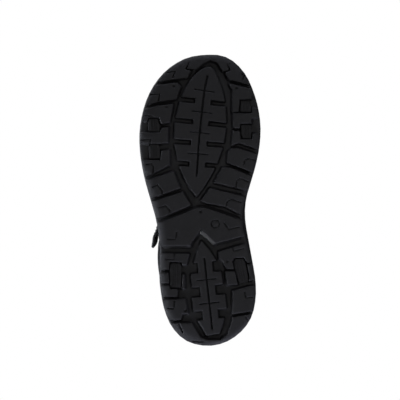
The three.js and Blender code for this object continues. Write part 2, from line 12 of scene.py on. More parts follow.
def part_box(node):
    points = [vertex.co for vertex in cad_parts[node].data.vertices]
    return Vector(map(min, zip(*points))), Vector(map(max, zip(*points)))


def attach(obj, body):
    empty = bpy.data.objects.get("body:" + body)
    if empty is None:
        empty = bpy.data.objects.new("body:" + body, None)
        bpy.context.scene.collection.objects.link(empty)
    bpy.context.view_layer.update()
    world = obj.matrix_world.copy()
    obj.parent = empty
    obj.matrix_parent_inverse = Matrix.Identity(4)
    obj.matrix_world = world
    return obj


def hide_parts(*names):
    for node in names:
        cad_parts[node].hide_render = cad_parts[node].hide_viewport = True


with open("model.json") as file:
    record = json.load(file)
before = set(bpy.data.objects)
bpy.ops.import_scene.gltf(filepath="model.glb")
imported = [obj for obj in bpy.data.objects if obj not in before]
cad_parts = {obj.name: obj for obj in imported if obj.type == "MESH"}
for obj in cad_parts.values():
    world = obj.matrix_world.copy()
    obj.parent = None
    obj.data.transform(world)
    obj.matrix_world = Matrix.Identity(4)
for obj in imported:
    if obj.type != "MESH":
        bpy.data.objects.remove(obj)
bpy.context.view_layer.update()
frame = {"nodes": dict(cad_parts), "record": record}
MM = 0.001

# ---------- materials


def shader(name, colour, roughness, **settings):
    """A new material and its tree, with the constants set on the shader's own sockets."""
    material = bpy.data.materials.new(name)
    material.use_nodes = True
    tree = material.node_tree
    surface = tree.nodes["Principled BSDF"]
    surface.inputs["Base Color"].default_value = (*colour, 1)
    surface.inputs["Roughness"].default_value = roughness
    for key, value in settings.items():
        surface.inputs[key.replace("_", " ")].default_value = value
    return material, tree, surface


def node(tree, kind, inputs=None, **settings):
    made = tree.nodes.new("ShaderNode" + kind)
    for key, value in settings.items():
        setattr(made, key, value)
    for key, value in (inputs or {}).items():
        if isinstance(value, bpy.types.NodeSocket):
            tree.links.new(value, made.inputs[key])
        else:
            made.inputs[key].default_value = value
    return made


def maths(tree, operation, a, b=0.0):
    return node(tree, "Math", {0: a, 1: b}, operation=operation).outputs[0]


def weighted(tree, *terms):
    """The sum of (value, weight) pairs."""
    total = None
    for value, weight in terms:
        part = value if weight == 1 else maths(tree, "MULTIPLY", value, weight)
        total = part if total is None else maths(tree, "ADD", total, part)
    return total


def noise_at(tree, scale, detail=3.0, roughness=0.55, stretch=(1, 1, 1), uv=False):
    """Noise with its lumps 1 / scale metres apart."""
    source = node(tree, "TexCoord").outputs["UV" if uv else "Object"]
    place = node(tree, "Mapping", {"Vector": source, "Scale": stretch})
    inputs = {"Vector": place.outputs[0], "Scale": scale, "Detail": detail, "Roughness": roughness}
    return node(tree, "TexNoise", inputs).outputs["Fac"]


def cells_at(tree, scale, uv=False, randomness=1.0, feature="F1"):
    """The distance inside cells that are 1 / scale metres wide."""
    source = node(tree, "TexCoord").outputs["UV" if uv else "Object"]
    inputs = {"Vector": source, "Scale": scale, "Randomness": randomness}
    return node(tree, "TexVoronoi", inputs, feature=feature).outputs["Distance"]


NOISE_LOW, NOISE_HIGH = 0.3, 0.7  # where nearly all of a noise's values lie


def remapped(tree, value, low, high, to_low=0.0, to_high=1.0):
    inputs = {"Value": value, "From Min": low, "From Max": high, "To Min": to_low, "To Max": to_high}
    return node(tree, "MapRange", inputs).outputs[0]


def vary_roughness(tree, surface, value, low, high):
    """Roughness from low to high, by a noise."""
    tree.links.new(remapped(tree, value, NOISE_LOW, NOISE_HIGH, low, high), surface.inputs["Roughness"])


def tinted(tree, surface, factor, dark, light):
    """Base colour between dark and light, by factor."""
    ramp = node(tree, "ValToRGB", {0: factor})
    for stop, colour, place in zip(ramp.color_ramp.elements, (dark, light), (NOISE_LOW, NOISE_HIGH)):
        stop.color = (*colour, 1)
        stop.position = place
    tree.links.new(ramp.outputs[0], surface.inputs["Base Color"])


def bump(tree, surface, layers):
    """Stacks bumps: each layer is (height, distance in metres, strength)."""
    normal = None
    for height, distance, strength in layers:
        inputs = {"Height": height, "Distance": distance, "Strength": strength}
        if normal is not None:
            inputs["Normal"] = normal
        normal = node(tree, "Bump", inputs).outputs[0]
    tree.links.new(normal, surface.inputs["Normal"])


PAINTED_SHADE_REACH = 0.004  # how wide the band of painted shade is in a crease or recess


def rubber_material(name, dark, light, roughness, creases=0.25):
    """Moulded rubber, dusty on worn edges, with painted shade darkening its creases and recesses. creases is
    how much of its colour stays in that painted shade.
    """
    material, tree, surface = shader(name, light, roughness, Specular_IOR_Level=0.42)
    cloud = noise_at(tree, 60, 4)
    grain = noise_at(tree, 1400, 2)
    dust = noise_at(tree, 300, 5, 0.7)
    convex = remapped(tree, node(tree, "NewGeometry").outputs["Pointiness"], 0.52, 0.62)
    worn = maths(tree, "MULTIPLY", convex, dust)
    tinted(tree, surface, weighted(tree, (cloud, 0.75), (dust, 0.25), (worn, 0.25)), dark, light)
    # Painted shade: ambient occlusion darkens the base colour in creases, recesses and between parts.
    open_share = node(tree, "AmbientOcclusion", {"Distance": PAINTED_SHADE_REACH}, samples=8).outputs["AO"]
    keep = remapped(tree, open_share, 0.25, 0.8, creases)
    colour = surface.inputs["Base Color"].links[0].from_socket
    shaded_colour = node(tree, "VectorMath", {0: colour, "Scale": keep}, operation="SCALE")
    tree.links.new(shaded_colour.outputs[0], surface.inputs["Base Color"])
    vary_roughness(tree, surface, dust, roughness - 0.08, roughness + 0.1)
    bump(tree, surface, [(cloud, 0.0006, 0.25), (grain, 0.00006, 0.5)])
    return material


def foam_material(name, dark, light):
    """Moulded EVA: matt, with a fine skin texture of closed cells."""
    material, tree, surface = shader(name, light, 0.8, Specular_IOR_Level=0.3)
    cloud = noise_at(tree, 45, 4)
    cells = cells_at(tree, 900)
    tinted(tree, surface, cloud, dark, light)
    vary_roughness(tree, surface, noise_at(tree, 250), 0.7, 0.92)
    bump(tree, surface, [(cloud, 0.0005, 0.2), (cells, 0.00009, 0.45)])
    return material


PICK, YARN, BAND = 0.0022, 0.0009, 0.0072  # the webbing's weave: metres along it, and across for the others
UV_MIDDLE = 0.5  # V on a strap's centre line


def webbing_material(name, dark, light):
    """Woven webbing. UV runs in metres: U along the strap, V across it."""
    material, tree, surface = shader(name, light, 0.82, Sheen_Weight=0.12, Sheen_Roughness=0.5)
    uv = node(tree, "SeparateXYZ", {0: node(tree, "TexCoord").outputs["UV"]})
    along, across = uv.outputs[0], uv.outputs[1]
    turns = maths(tree, "MULTIPLY", along, 2 * math.pi / PICK)
    rows = maths(tree, "MULTIPLY", across, 2 * math.pi / (2 * YARN))
    stagger = maths(tree, "MULTIPLY", maths(tree, "SIGN", maths(tree, "SINE", rows)), math.pi / 2)
    weft = maths(tree, "SINE", maths(tree, "ADD", turns, stagger))
    yarns = maths(tree, "ABSOLUTE", maths(tree, "SINE", rows))
    from_middle = maths(tree, "SUBTRACT", across, UV_MIDDLE)
    bands = maths(tree, "SINE", maths(tree, "MULTIPLY", from_middle, 2 * math.pi / BAND))
    weave = weighted(tree, (weft, 0.5), (yarns, 1), (bands, 0.35))
    height = remapped(tree, weave, -0.85, 1.85)
    fibre = noise_at(tree, 900, 3, 0.6, (0.25, 1, 1), uv=True)
    fade = noise_at(tree, 40, 3)
    tinted(tree, surface, weighted(tree, (height, 0.55), (fibre, 0.3), (fade, 0.2)), dark, light)
    vary_roughness(tree, surface, fibre, 0.74, 0.94)
    bump(tree, surface, [(height, 0.00025, 0.7), (fibre, 0.00008, 0.5)])
    return material


def knit_material(name, dark, light):
    """The pads' lining: a small spacer-mesh pattern with soft sheen."""
    material, tree, surface = shader(name, light, 0.92, Sheen_Weight=0.25, Sheen_Roughness=0.6)
    cells = cells_at(tree, 620, uv=True, randomness=0.25)
    fuzz = noise_at(tree, 2500, 3)
    fade = noise_at(tree, 60, 3)
    tinted(tree, surface, weighted(tree, (cells, 0.5), (fade, 1)), dark, light)
    bump(tree, surface, [(cells, 0.0003, -0.6), (fuzz, 0.00008, 0.4)])
    return material


def tape_material(name, dark, light, scale):
    """Hook or loop tape: a dense fuzz of tiny loops."""
    material, tree, surface = shader(name, light, 0.95, Sheen_Weight=0.08, Sheen_Roughness=0.7)
    loops = cells_at(tree, scale)
    fuzz = noise_at(tree, 1800, 4, 0.7)
    tinted(tree, surface, weighted(tree, (loops, 0.4), (fuzz, 1)), dark, light)
    bump(tree, surface, [(loops, 0.0005, -0.8), (fuzz, 0.00025, 0.6)])
    return material


def plastic_material(name, dark, light, roughness):
    """Moulded acetal or nylon: a satin skin with faint moulding flow and fine scratches."""
    material, tree, surface = shader(name, light, roughness, Specular_IOR_Level=0.5)
    flow = noise_at(tree, 120, 3, 0.5, (1, 4, 1))
    scratch = noise_at(tree, 700, 4, 0.7, (1, 12, 1))
    tinted(tree, surface, flow, dark, light)
    vary_roughness(tree, surface, scratch, roughness - 0.06, roughness + 0.16)
    bump(tree, surface, [(flow, 0.0001, 0.3), (scratch, 0.00003, 0.4)])
    return material


def panel_material(name, dark, light):
    """Coated synthetic leather of the side panels."""
    material, tree, surface = shader(name, light, 0.7, Specular_IOR_Level=0.35)
    creases = cells_at(tree, 700, feature="DISTANCE_TO_EDGE")
    wrinkle = noise_at(tree, 160, 4)
    tinted(tree, surface, wrinkle, dark, light)
    vary_roughness(tree, surface, wrinkle, 0.6, 0.82)
    bump(tree, surface, [(wrinkle, 0.0005, 0.3), (creases, 0.0001, 0.7)])
    return material


TREAD = rubber_material("tread_rubber", (0.0123, 0.0120, 0.0136), (0.0192, 0.0188, 0.0210), 0.62)
TREAD_RIBBED = rubber_material(
    "tread_rubber_inserts", (0.0148, 0.0145, 0.0163), (0.0222, 0.0218, 0.0241), 0.66)
# Painted shade: a much darker copy of the tread rubber for the spears' walls, standing in for the shade that
# falls on them.
TREAD_PAINTED_SHADE = rubber_material("tread_rubber_painted_shade_walls", (0.004, 0.004, 0.0046), (0.007, 0.007, 0.008), 0.85)
# Smoother rubber for the notch's facet. Its colour, lighter than the tread's, is a painted highlight, and it
# keeps more of its colour in the painted shade.
TREAD_SMOOTH_PAINTED_HIGHLIGHT = rubber_material(
    "tread_rubber_smooth_painted_highlight", (0.0165, 0.0165, 0.0175), (0.025, 0.025, 0.0267), 0.48, 0.75)
TAB_RUBBER = rubber_material("tab_rubber", (0.014, 0.014, 0.015), (0.022, 0.022, 0.024), 0.5)
MIDSOLE = foam_material("midsole_foam", (0.0135, 0.0135, 0.0150), (0.0215, 0.0215, 0.0235))
FOOTBED = foam_material("footbed_foam", (0.017, 0.017, 0.0185), (0.027, 0.027, 0.029))
WEBBING = webbing_material("strap_webbing", (0.008, 0.008, 0.009), (0.021, 0.021, 0.023))
LINING = knit_material("pad_lining", (0.012, 0.012, 0.013), (0.03, 0.03, 0.032))
LOOPS = tape_material("loop_tape", (0.008, 0.008, 0.009), (0.02, 0.02, 0.021), 1500.0)
HOOKS = tape_material("hook_tape", (0.008, 0.008, 0.009), (0.017, 0.017, 0.018), 1000.0)
PLASTIC = plastic_material("ring_acetal", (0.010, 0.010, 0.011), (0.017, 0.017, 0.018), 0.38)
NYLON = plastic_material("shank_nylon", (0.02, 0.02, 0.021), (0.034, 0.034, 0.036), 0.5)
PANEL = panel_material("side_panel", (0.012, 0.012, 0.013), (0.022, 0.022, 0.024))
THREAD = plastic_material("thread", (0.018, 0.018, 0.019), (0.036, 0.036, 0.038), 0.6)

# ---------- mesh helpers


def in_scene(name, data):
    """A new object, in the scene."""
    made = bpy.data.objects.new(name, data)
    bpy.context.scene.collection.objects.link(made)
    return made


def tidy_normals(mesh, smooth):
    """Faces out, smooth shaded, and sharp where faces meet at more than that angle."""
    bm = bmesh.new()
    bm.from_mesh(mesh)
    bmesh.ops.recalc_face_normals(bm, faces=bm.faces)
    for face in bm.faces:
        face.smooth = True
    for edge in bm.edges:
        edge.smooth = len(edge.link_faces) == 2 and edge.calc_face_angle(0) < math.radians(smooth)
    bm.to_mesh(mesh)
    bm.free()


class Shell:
    """Points and faces gathered from several simple parts, in millimetres."""

    def __init__(self):
        self.verts, self.faces, self.uvs = [], [], []

    def add(self, verts, faces=(), uvs=None):
        first = len(self.verts)
        self.verts += [tuple(v) for v in verts]
        self.uvs += list(uvs) if uvs is not None else [(0, 0)] * len(verts)
        self.faces += [tuple(first + i for i in face) for face in faces]
        return first

    def object(self, name, material, body, slot, smooth, uvs=False):
        """A piece made of these points and faces, that rides on a body."""
        mesh = bpy.data.meshes.new(name)
        mesh.from_pydata([Vector(v) * MM for v in self.verts], [], self.faces)
        if uvs:
            layer = mesh.uv_layers.new(name="UVMap")
            for loop in mesh.loops:
                layer.data[loop.index].uv = self.uvs[loop.vertex_index]
        mesh.materials.append(material)
        made = in_scene(name, mesh)
        tidy_normals(mesh, smooth)
        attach(made, body)
        return made


def clean_copy(name):
    """The CAD node's mesh in millimetres, welded, as a bmesh."""
    bm = bmesh.new()
    bm.from_mesh(frame["nodes"][name].data)
    bmesh.ops.scale(bm, vec=(1000, 1000, 1000), verts=bm.verts)
    bmesh.ops.remove_doubles(bm, verts=bm.verts, dist=0.003)
    return bm


# ---------- plan outlines


def closed_loops(edges):
    """The closed rings of XY points that these bmesh edges make."""
    links = {}
    for a, b in (edge.verts for edge in edges):
        links.setdefault(a, []).append(b)
        links.setdefault(b, []).append(a)
    loops, seen = [], set()
    for start in links:
        if start in seen or len(links[start]) != 2:
            continue
        ring, last, here = [], None, start
        while here not in seen:
            seen.add(here)
            ring.append(Vector((here.co.x, here.co.y, 0)))
            onward = [v for v in links[here] if v is not last and v not in seen]
            if not onward:
                break
            last, here = here, onward[0]
        if len(ring) > 3:
            loops.append(ring)
    return loops


def simplified(ring, closest=0.12, straight=1.5):
    """Without points that are on top of each other or in the middle of a straight edge."""
    kept = [p for i, p in enumerate(ring) if (p - ring[i - 1]).length > closest]
    out = []
    for i, p in enumerate(kept):
        a, b = p - kept[i - 1], kept[(i + 1) % len(kept)] - p
        if a.length and b.length and a.angle(b) > math.radians(straight):
            out.append(p)
    return out


def area(ring):
    return sum(a.x * b.y - b.x * a.y for a, b in zip(ring, ring[1:] + ring[:1])) / 2


def rounded(ring, radius, longest, sharpest=18):
    """Corners turned into arcs, and long edges cut into steps."""
    out = []
    count = len(ring)
    for i, p in enumerate(ring):
        back, on = ring[i - 1] - p, ring[(i + 1) % count] - p
        turn = math.pi - back.angle(on)
        if turn < math.radians(sharpest):
            out.append(p)
            continue
        cut = min(radius * math.tan(turn / 2), 0.42 * back.length, 0.42 * on.length)
        start, end = p + back.normalized() * cut, p + on.normalized() * cut
        for t in (0, 0.25, 0.5, 0.75, 1):
            out.append(start * (1 - t) ** 2 + p * 2 * t * (1 - t) + end * t**2)
    return stepped(out, longest)


def stepped(ring, longest):
    out = []
    for a, b in zip(ring, ring[1:] + ring[:1]):
        steps = max(1, math.ceil((b - a).length / longest))
        out += [a.lerp(b, k / steps) for k in range(steps)]
    return out


def inset(ring, by, share=None):
    """The ring moved to its left, into the material, with mitred corners. share is each point's part."""
    out = []
    for i, p in enumerate(ring):
        a, b = (p - ring[i - 1]).normalized(), (ring[(i + 1) % len(ring)] - p).normalized()
        normal = Vector((-a.y - b.y, a.x + b.x, 0))
        if normal.length < 1e-6:
            out.append(p)
            continue
        normal.normalize()
        stretch = 1 / max(0.55, normal.dot(Vector((-a.y, a.x, 0))))
        out.append(p + normal * by * stretch * (share[i] if share else 1))
    return out


def nearest(p, points):
    """The distance from p to the nearest of the points."""
    return min((p - q).length for q in points)


def holds(ring, p):
    inside = False
    for a, b in zip(ring, ring[1:] + ring[:1]):
        if (a.y > p.y) != (b.y > p.y) and p.x < (b.x - a.x) * (p.y - a.y) / (b.y - a.y) + a.x:
            inside = not inside
    return inside


def islands(rings):
    """Rings as [outer, holes], with the material on the left of each."""
    found = []
    for ring in sorted(rings, key=lambda r: -abs(area(r))):
        around = [k for k in found if holds(k[0], ring[0])]
        if around:
            around[-1][1].append(ring if area(ring) < 0 else ring[::-1])
        else:
            found.append([ring if area(ring) > 0 else ring[::-1], []])
    return found


def cap(rings, spacing):
    """Triangles that fill an outer ring less its holes, with a grid of points inside for bending."""
    points, edges = [], []
    for ring in rings:
        first, count = len(points), len(ring)
        points += [p.xy for p in ring]
        edges += [(first + i, first + (i + 1) % count) for i in range(count)]
    own = len(points)
    xs, ys = [p.x for p in points], [p.y for p in points]
    columns = range(math.ceil(min(xs) / spacing), math.floor(max(xs) / spacing) + 1)
    lines = range(math.ceil(min(ys) / spacing), math.floor(max(ys) / spacing) + 1)
    within = lambda p: holds(rings[0], p) and not any(holds(r, p) for r in rings[1:])
    for i in columns:
        for j in lines:
            p = Vector((i * spacing, j * spacing))
            if within(p) and nearest(p, points[:own]) > spacing * 0.45:
                points.append(p)
    verts, _, triangles, origin = delaunay_2d_cdt(points, edges, [], 0, 1e-5)[:4]
    keep = [tuple(t) for t in triangles if within(sum((verts[i] for i in t), Vector((0, 0))) / 3)]
    return verts, keep, origin


def loft(shell, outer, holes, levels, spacing, share=None):
    """A closed block from a plan: levels are (z, inset), and the first and the last are capped.
    share scales the outward insets at each point of the outer ring."""
    rings = [outer, *holes]
    placed = []
    for z, by in levels:
        moved = [inset(r, by, share if by < 0 else None) for r in rings]
        if len(placed) in (0, len(levels) - 1):
            verts, triangles, origin = cap(moved, spacing)
            first = shell.add([(v.x, v.y, z) for v in verts], triangles)
            placed.append({old: first + new for new, sources in enumerate(origin) for old in sources})
        else:
            first = shell.add([(p.x, p.y, z) for r in moved for p in r])
            placed.append(range(first, len(shell.verts)))
    for a, b in zip(placed, placed[1:]):
        base = 0
        for ring in rings:
            count = len(ring)
            for i in range(count):
                p, q = base + i, base + (i + 1) % count
                face = (a[p], a[q], b[q], b[p])
                if len(set(face)) == 4:
                    shell.faces.append(face)
            base += count


# ---------- sole heights, in millimetres

SOLE_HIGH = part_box("midsole")[1] / MM
HALF_LENGTH = SOLE_HIGH.y
TOE_SPRING, TOE_FROM = 13, 60
HEEL_BEVEL, HEEL_FROM = 5, -100
LUG, BASE, SIPE = 4.0, 3.0, 1.6
HEEL_STACK, BALL_STACK = 31, 24  # the midsole's top over the ground
WEDGE_FROM, WEDGE_RUN = -50, 90  # where it slopes from one to the other
TOP_SPRING = 0.8  # the part of the toe spring that the midsole's top follows


def ground(y):
    toe = max(0, y - TOE_FROM) / (HALF_LENGTH - TOE_FROM)
    heel = max(0, HEEL_FROM - y) / (HALF_LENGTH + HEEL_FROM)
    return TOE_SPRING * toe**2 + HEEL_BEVEL * heel**2


def smoothstep(t):
    t = min(1, max(0, t))
    return t * t * (3 - 2 * t)


def midsole_top(y):
    toe = max(0, y - TOE_FROM) / (HALF_LENGTH - TOE_FROM)
    wedge = (BALL_STACK - HEEL_STACK) * smoothstep((y - WEDGE_FROM) / WEDGE_RUN)
    return HEEL_STACK + wedge + TOP_SPRING * TOE_SPRING * toe**2


def section(name, height, level=ground):
    """The CAD node's outlines at a height over the ground line or another level, as rings of XY points."""
    bm = clean_copy(name)
    for v in bm.verts:
        v.co.z -= level(v.co.y)
    everything = bm.verts[:] + bm.edges[:] + bm.faces[:]
    plane = {"plane_co": (0, 0, height), "plane_no": (0, 0, 1)}
    cut = bmesh.ops.bisect_plane(bm, geom=everything, dist=1e-5, **plane)
    edges = [e for e in cut["geom_cut"] if isinstance(e, bmesh.types.BMEdge)]
    rings = [simplified(ring) for ring in closed_loops(edges)]
    bm.free()
    return [r for r in rings if len(r) > 2 and abs(area(r)) > 0.6]


# ---------- outsole

# Middles of the six small blocks with ribbed faces, and of the round dimples beside the lugs, as shares of
# the sole's half width and half length.
INSERTS = [(0.754, 0.515), (0.754, 0.33), (-0.749, 0.642), (-0.756, 0.467), (0.404, -0.515),
           (-0.671, -0.488)]
DIMPLES = [(0.431, 0.777), (0.555, 0.633), (-0.6, 0.764), (-0.577, 0.342), (-0.426, 0.21), (0.524, 0.175),
           (0.24, -0.756), (-0.446, -0.421), (-0.008, -0.081)]
INSERT_NEAR, INSERT_AREA = 6, 320  # a block this near to one of those points, and smaller than this
DIMPLE_RADIUS = 1.15
LEVEL_MARK, LEVEL_RADIUS = (-0.252, -0.163), 4.4  # the moulded ring under the arch
FACET_TOP, FACET_END = (-0.03, -0.19), (-0.265, -0.3)  # ends of the sloping side of the heel spear's notch
FACET_RUN, FACET_DROP = 3.6, 2.5
SPEARS = [(0, 0.6), (-0.03, -0.6)]  # a point inside each spear-shaped block
PLATE = (0, -0.17)  # a point inside the waist plate
PLATE_FOOT, SPEAR_FOOT, LUG_FOOT = 3.3, 1.9, 2.2  # how far the walls of each kind of block slope out
FACE_CUT, BLOCK_CUT, BASE_CUT = 0.7, 2.8, 5.5  # heights of the CAD cuts for the faces, blocks and outline
INSERT_FACE, RIB_FACE, RIB_ROOT = 1.25, 0.75, 1.5  # over the ground
RIB_HALF, RIB_MARGIN = 0.42, 1.6
HEEL_RIBS, HEEL_RIB_PITCH, HEEL_RIB_SLOPE = -40.6, 2.3, -0.19  # the slanted ribs of the medial heel insert
RIM_RISE, RIM_RUN = 1.6, 5  # how the tread curves up at its edge
WIDE_RIM_RISE, WIDE_RIM_RUN, WIDE_RIM_TO = 2.6, 7.5, 30  # the same on the lateral side, up to this Y


def on_sole(across, along):
    return Vector((across * SOLE_HIGH.x, along * HALF_LENGTH, 0))


def circle(middle, radius, count):
    turns = [2 * math.pi * i / count for i in range(count)]
    return [middle + Vector((math.cos(-t), math.sin(-t), 0)) * radius for t in turns]


def rim_lift(outline):
    """How far the tread curves up beside the sole's edge."""
    def lift(x, y):
        p = Vector((x, y, 0))
        near = math.sqrt(min(((p - a).length_squared for a in outline)))
        if x > 0 and y < WIDE_RIM_TO:
            return WIDE_RIM_RISE * max(0, 1 - near / WIDE_RIM_RUN) ** 2
        return RIM_RISE * max(0, 1 - near / RIM_RUN) ** 2
    return lift


def is_insert(ring):
    middle = sum(ring, Vector()) / len(ring)
    small = abs(area(ring)) < INSERT_AREA
    return small and any((middle - on_sole(*at)).length < INSERT_NEAR for at in INSERTS)


def ribs(shell, ring):
    """Narrow ridges that run the length of a small block."""
    low_x, high_x = min(p.x for p in ring) + RIB_MARGIN, max(p.x for p in ring) - RIB_MARGIN
    low_y, high_y = min(p.y for p in ring), max(p.y for p in ring)
    long_block = high_y - low_y > 20
    slanted = long_block and low_x < 0
    slope = HEEL_RIB_SLOPE if slanted else 0
    middle_y = sum(p.y for p in ring) / len(ring)
    count = 4 if long_block else 5
    steps = max(1, round((high_y - low_y) / 0.8))
    for k in range(count):
        x0 = low_x + (high_x - low_x) * (k + 0.5) / count
        if slanted:
            x0 = HEEL_RIBS + (k - 1.5) * HEEL_RIB_PITCH
        ys = [low_y + (high_y - low_y) * i / steps for i in range(steps + 1)]
        line = [Vector((x0 - slope * (y - middle_y), y, 0)) for y in ys]
        line = [p for p in line if holds(inset(ring, 1.3), p)]
        if len(line) > 3:
            profile = ((-1, RIB_ROOT), (-0.6, RIB_FACE), (0.6, RIB_FACE), (1, RIB_ROOT))
            tube(shell, [[(p.x + side * RIB_HALF, p.y, z) for side, z in profile] for p in line])


def tube(shell, rows, uvs=None):
    """A closed tube through rows of points, capped at both ends."""
    count = len(rows[0])
    faces = [tuple(reversed(range(count))), tuple((len(rows) - 1) * count + i for i in range(count))]
    for r in range(len(rows) - 1):
        for i in range(count):
            j = (i + 1) % count
            faces.append((r * count + i, r * count + j, (r + 1) * count + j, (r + 1) * count + i))
    shell.add([p for row in rows for p in row], faces, uvs)


def bend(shell, lift):
    """From the flat to the sole's own curves."""
    out = []
    for x, y, z in shell.verts:
        share = 1 - max(0, min(z, LUG)) / LUG
        out.append((x, y, z + ground(y) + (lift(x, y) * share if z < LUG - 0.01 else 0)))
    shell.verts = out


def add_dimples(face_rings):
    """Round holes in the lugs' faces: the vent dimples, and the moulded ring under the arch."""
    for at, radius in [(at, DIMPLE_RADIUS) for at in DIMPLES] + [(LEVEL_MARK, LEVEL_RADIUS)]:
        p = on_sole(*at)
        for outer, holes in face_rings:
            clear = min(nearest(p, stepped(r, 1.0)) for r in (outer, *holes))
            if holds(outer, p) and clear > radius + 0.7:
                holes.append(circle(p, radius, 14 if radius < 2 else 26))


def is_spear(ring):
    return any(holds(ring, on_sole(*at)) for at in SPEARS)


def wall_foot(ring):
    """How far a block's walls slope out."""
    if holds(ring, on_sole(*PLATE)):
        return PLATE_FOOT
    return SPEAR_FOOT if is_spear(ring) else LUG_FOOT


def waist_facet(shell, ring):
    """The wide smooth slope that one side of the notch ahead of the heel spear has."""
    start, end = [min(ring, key=lambda p: (p - on_sole(*at)).length) for at in (FACET_TOP, FACET_END)]
    along = (end - start).normalized()
    away = Vector((-along.y, along.x, 0))
    if away.y > 0:
        away = -away
    down = Vector((0, 0, 1))
    rows = []
    for share in (0, 0.04, 0.96, 1):
        p = start.lerp(end, share)
        run = FACET_RUN * (0.55 if share in (0, 1) else 1)
        rows.append([p - away * 0.6 + down * 0.25, p + away * 0.25 + down * 0.25,
                     p + away * run + down * (0.25 + FACET_DROP), p + away * run + down * (LUG + 0.4),
                     p - away * 0.6 + down * (LUG + 0.4)])
    tube(shell, rows)


def build_outsole():
    outline = rounded(islands(section("outsole", BASE_CUT))[0][0], 2, 3, 40)
    lift = rim_lift(outline)
    lugs, walls, inserts, base, facet = [Shell() for _ in range(5)]
    loft(base, outline, [], [(LUG, 1.0), (LUG + 0.3, 0.35), (LUG + 1, 0), (LUG + BASE, 0)], 6)
    faces = islands([rounded(r, 0.7, 3.5) for r in section("outsole", FACE_CUT)])
    blocks = islands([rounded(r, 0.9, 3.5) for r in section("outsole", BLOCK_CUT)])
    add_dimples(faces)
    for outer, holes in faces:
        if is_insert(outer):
            loft(inserts, outer, holes, [(INSERT_FACE, 0.5), (1.35, 0.15), (1.7, 0), (LUG + 0.4, -0.2)], 4)
            ribs(inserts, outer)
        else:
            loft(lugs, outer, holes, [(0, 0.55), (0.13, 0.18), (0.5, 0), (SIPE + 0.2, 0)], 2.2)
    for outer, holes in blocks:
        if is_insert(outer):
            continue
        # The walls slope out to their roots, except along the sole's own edge, where they stand upright.
        share = [smoothstep((nearest(p, outline) - 0.8) / 4) for p in outer]
        foot = wall_foot(outer)
        levels = [(SIPE, 0.02), (SIPE + 0.05, 0), (LUG - 0.3, -0.9 * foot), (LUG + 0.4, -foot)]
        # The spears' walls go to their own shell, which gets the painted-shade rubber.
        loft(walls if is_spear(outer) else lugs, outer, [], levels, 7, share=share)
    disc = circle(on_sole(*LEVEL_MARK), LEVEL_RADIUS - 0.75, 24)[::-1]
    loft(lugs, disc, [], [(0.15, 0.3), (0.3, 0.05), (SIPE + 0.2, 0)], 3)
    waist_facet(facet, next(outer for outer, _ in faces if holds(outer, on_sole(*PLATE))))
    for shell, name, material, smooth in (
        (facet, "facet", TREAD_SMOOTH_PAINTED_HIGHLIGHT, 30),
        (lugs, "lugs", TREAD, 50),
        (walls, "spear_painted_shade_walls", TREAD_PAINTED_SHADE, 50),
        (inserts, "inserts", TREAD_RIBBED, 50),
        (base, "base", TREAD, 50),
    ):
        bend(shell, lift)
        made = shell.object(f"outsole_{name}", material, "sole_and_upper", "outsole_rubber", smooth)
    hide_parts("outsole")


# ---------- midsole and footbed


def plan_outline(name, height, level=ground):
    return rounded(islands(section(name, height, level))[0][0], 3, 2.5, 60)


def moulded(outline, levels, place, spacings, on_top=None):
    """A closed block from a plan: levels are (height, inset), and place(p, height) puts each point.
    spacings are the grids that fill its underside and its top, and on_top(p) puts the top's own points."""
    shell = Shell()
    count, top = len(outline), len(levels) - 1
    plans = [inset(outline, by) for _, by in levels]
    for (height, _), plan in zip(levels, plans):
        shell.add([place(p, height) for p in plan])
    for r in range(top):
        for i in range(count):
            a, b = r * count + i, r * count + (i + 1) % count
            shell.faces.append((a, b, b + count, a + count))
    for r, spacing in zip((0, top), spacings):
        verts, triangles, origin = cap([plans[r]], spacing)
        where = []
        for v, sources in zip(verts, origin):
            own = [k for k in sources if k < count]
            new = on_top(v) if r and on_top else place(v, levels[r][0])
            where.append(r * count + own[0] if own else shell.add([new]))
        shell.faces += [tuple(where[i] for i in t) for t in triangles]
    return shell


def between(low, high):
    """Places a point at a share of the way between two heights that depend on Y."""
    return lambda p, share: (p.x, p.y, low(p.y) + (high(p.y) - low(p.y)) * share)


def build_midsole():
    outline = plan_outline("midsole", 12)
    levels = [(0, 0.5), (0.03, 0.1), (0.08, 0.0), (0.2, -0.1), (0.24, 0.5), (0.27, 0.75), (0.3, 0.5),
              (0.34, 0.0), (0.5, 0.1), (0.66, 0.35), (0.7, 0.9), (0.73, 1.1), (0.76, 0.9), (0.8, 0.45),
              (0.9, 0.55), (0.965, 0.8), (1, 1.5)]
    shell = moulded(outline, levels, between(lambda y: ground(y) + LUG + BASE, midsole_top), (6, 6))
    made = shell.object("midsole_foam", MIDSOLE, "sole_and_upper", "midsole_foam", 40)
    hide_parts("midsole")


BED_RIB, BED_PITCH = 0.32, 9  # half height and spacing of the footbed's shallow chevron ribs
BED, BED_EDGE = 4.5, 4.52  # the bed's surface over the midsole's top, inside and beside its rim
BED_RIM, BED_SUNK = 7, 1.0  # its rim over the midsole's top, and its underside below it
ARCH_RISE, TOE_BAR, HEEL_CUP, BALL_DIP = 1.8, 0.9, 0.8, 0.5


def bed_height(x, y):
    """The footbed's walking surface: an arch rise, a heel cup, a toe bar and shallow chevron ribs."""
    z = midsole_top(y) + BED
    arch = math.exp(-(((y + 22) / 34) ** 2)) * smoothstep((-x - 12) / 30)
    toes = math.exp(-(((y - 78 + abs(x) * 0.25) / 7) ** 2)) * smoothstep((48 - abs(x)) / 20)
    cup = math.exp(-((y + 98) ** 2 + (x + 8) ** 2 * 1.8) / 900)
    ball = math.exp(-((y - 48) ** 2 + (x + 12) ** 2) / 700)
    grip = BED_RIB * math.sin((y + 0.6 * abs(x + 6)) * 2 * math.pi / BED_PITCH)
    return z + ARCH_RISE * arch + TOE_BAR * toes - HEEL_CUP * cup - BALL_DIP * ball + grip


